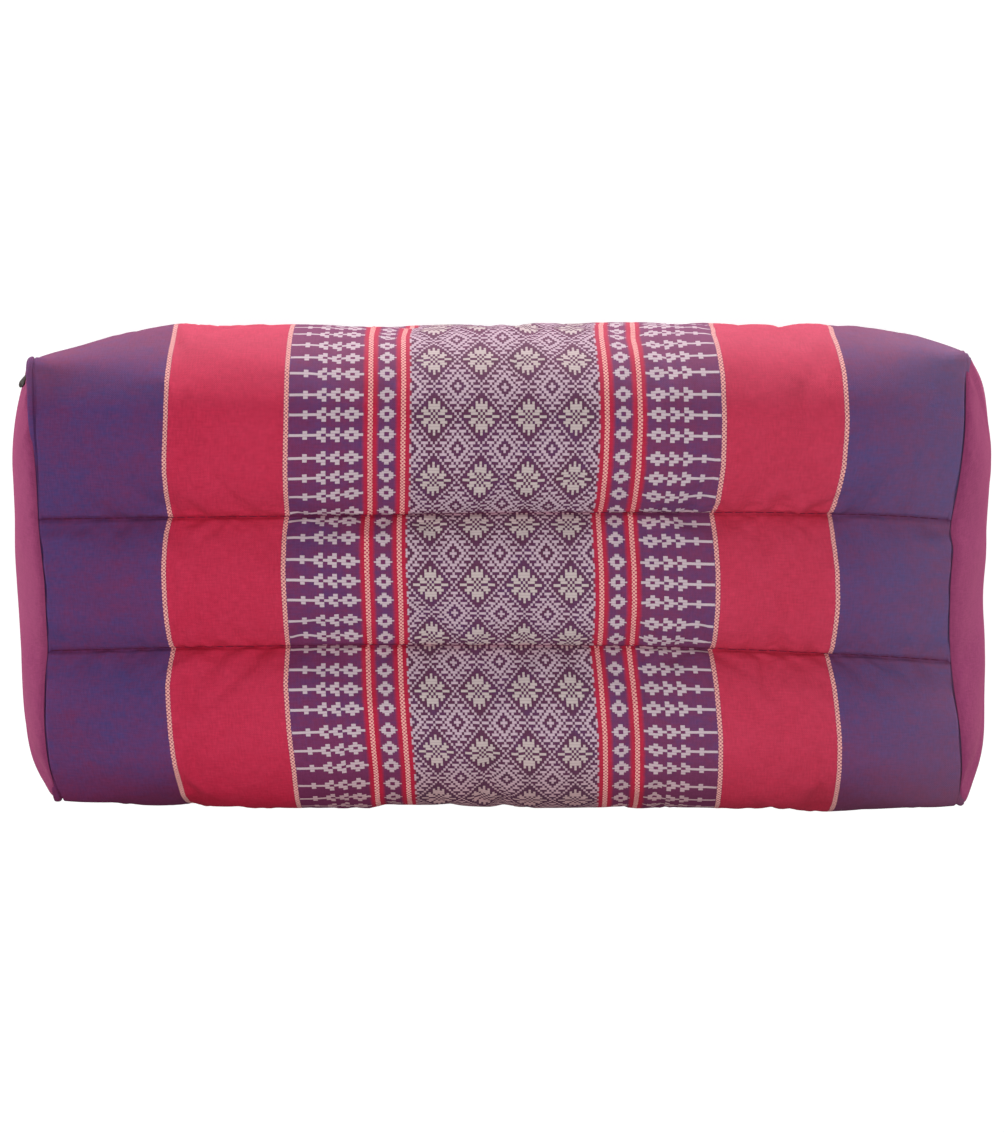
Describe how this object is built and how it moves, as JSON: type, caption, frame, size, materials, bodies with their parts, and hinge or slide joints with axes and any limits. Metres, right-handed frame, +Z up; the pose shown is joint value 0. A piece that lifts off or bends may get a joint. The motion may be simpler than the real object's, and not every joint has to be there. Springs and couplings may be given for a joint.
{
  "type": "block meditation cushion",
  "caption": "Firm block-shaped meditation cushion in banded brocade cloth, quilted into long channels, with plain sewn-in end panels and raised end hems.",
  "frame": {"origin": "under the middle of the cushion, on the surface it rests on", "axes": "+X along the length, towards the end without the pull tab; +Y across the width; +Z up, out of the patterned face"},
  "size_m": [0.3781, 0.1899, 0.1198],
  "materials": {
    "wrap_cloth": "woven cotton blend in shot violet and red with a soft sheen, banded with cream checked stripes and raised pale motifs",
    "panel_cloth": "plain matt magenta cloth",
    "dark_metal": "dark bronzed, slightly worn at the tip"
  },
  "bodies": {
    "root": {"cushion_body": "wrap_cloth", "end_panel_left": "panel_cloth", "end_panel_right": "panel_cloth", "zip_pull": "dark_metal"}
  },
  "joints": []
}
